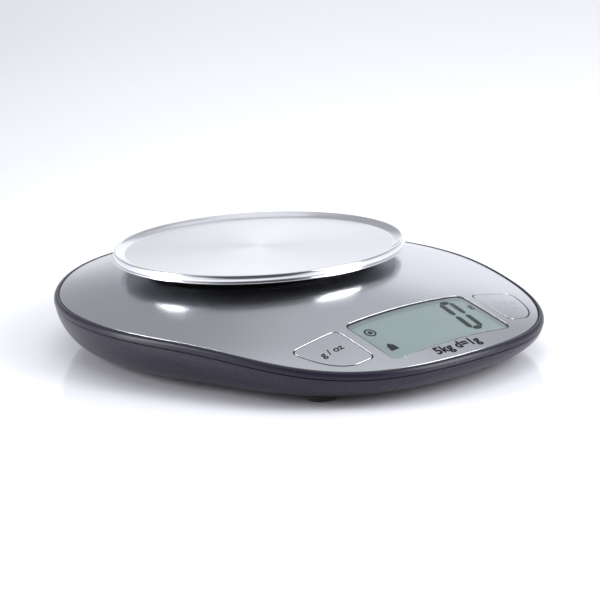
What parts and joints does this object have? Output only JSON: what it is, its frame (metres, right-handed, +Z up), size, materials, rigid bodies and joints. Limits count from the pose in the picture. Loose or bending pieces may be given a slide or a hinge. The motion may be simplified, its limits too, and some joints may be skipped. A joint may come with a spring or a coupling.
{
  "type": "digital gram scale",
  "caption": "Kitchen-type digital gram scale with a round steel pan over a crowned steel plate, a display and two keys, standing on rubber feet.",
  "frame": {"origin": "middle of the footprint, on the surface that the feet stand on", "axes": "+Z up, the display and the keys towards -Y, +X to the right of someone reading the display"},
  "size_m": [0.188, 0.2296, 0.0405],
  "materials": {
    "brushed_steel": "satin, spun on the pan",
    "grey_plastic": "dark violet grey, semi-gloss",
    "black_plastic": "matte",
    "clear_plastic": "clear, glossy",
    "lcd": "pale grey-green display",
    "aluminium": "milled",
    "zinc_plate": "zinc plated",
    "rubber": "matte",
    "circuit_board": "green solder mask",
    "white_plastic": "white",
    "battery_wrap": "printed wrap",
    "red_wire": "wire insulation",
    "ribbon": "flexible film"
  },
  "bodies": {
    "base": {"battery_1": "battery_wrap", "battery_2": "battery_wrap", "battery_lead_black": "black_plastic", "battery_lead_red": "red_wire", "battery_spring_1": "zinc_plate", "battery_spring_2": "zinc_plate", "board_screw_1": "zinc_plate", "board_screw_2": "zinc_plate", "board_screw_3": "zinc_plate", "board_screw_4": "zinc_plate", "bridge_contact": "zinc_plate", "controller_chip": "black_plastic", "crystal": "zinc_plate", "display_ribbon": "ribbon", "display_window": "clear_plastic", "foot_front_left": "rubber", "foot_front_right": "rubber", "foot_rear_left": "rubber", "foot_rear_right": "rubber", "housing_screw_1": "zinc_plate", "housing_screw_2": "zinc_plate", "housing_screw_3": "zinc_plate", "housing_screw_4": "zinc_plate", "lcd_panel": "lcd", "lcd_tray": "black_plastic", "load_cell": "aluminium", "load_cell_cable": "white_plastic", "load_cell_screw_1": "zinc_plate", "load_cell_screw_2": "zinc_plate", "load_cell_socket": "white_plastic", "lower_housing": "grey_plastic", "lower_spacer": "zinc_plate", "main_circuit_board": "circuit_board", "mode_switch": "black_plastic", "negative_contact": "zinc_plate", "overload_stop": "zinc_plate", "positive_contact": "zinc_plate", "strain_gauge_coating": "white_plastic", "tare_switch": "black_plastic", "top_plate": "brushed_steel", "upper_housing": "grey_plastic"},
    "platform": {"weighing_pan": "brushed_steel", "pan_carrier": "black_plastic", "upper_spacer": "zinc_plate", "carrier_screw_1": "zinc_plate", "carrier_screw_2": "zinc_plate"},
    "mode_key": {"mode_key": "grey_plastic", "mode_key_skin": "brushed_steel"},
    "mode_plunger": {"mode_switch_plunger": "white_plastic"},
    "tare_key": {"tare_key": "grey_plastic", "tare_key_skin": "brushed_steel"},
    "tare_plunger": {"tare_switch_plunger": "white_plastic"},
    "battery_door": {"battery_door": "grey_plastic"}
  },
  "joints": [
    {"name": "platform_press", "type": "slide", "parent": "base", "child": "platform", "axis": [0, 0, -1], "range_m": [0, 0.0004], "stiffness_N_per_m": 120000, "springref_m": -0.0001},
    {"name": "mode_press", "type": "slide", "parent": "base", "child": "mode_key", "axis": [0, 0, -1], "range_m": [0, 0.0006], "stiffness_N_per_m": 1500, "springref_m": -0.0004},
    {"name": "mode_plunger_press", "type": "slide", "parent": "base", "child": "mode_plunger", "axis": [0, 0, -1], "range_m": [0, 0.0006]},
    {"name": "tare_press", "type": "slide", "parent": "base", "child": "tare_key", "axis": [0, 0, -1], "range_m": [0, 0.0006], "stiffness_N_per_m": 1500, "springref_m": -0.0004},
    {"name": "tare_plunger_press", "type": "slide", "parent": "base", "child": "tare_plunger", "axis": [0, 0, -1], "range_m": [0, 0.0006]},
    {"name": "battery_door_hinge", "type": "hinge", "parent": "base", "child": "battery_door", "pos_m": [0, 0.0557, 0.0032], "axis": [-1, 0, 0], "range_deg": [0, 85]}
  ],
  "couplings": [
    {"joint": "mode_plunger_press", "follows": "mode_press", "ratio": 1},
    {"joint": "tare_plunger_press", "follows": "tare_press", "ratio": 1}
  ]
}
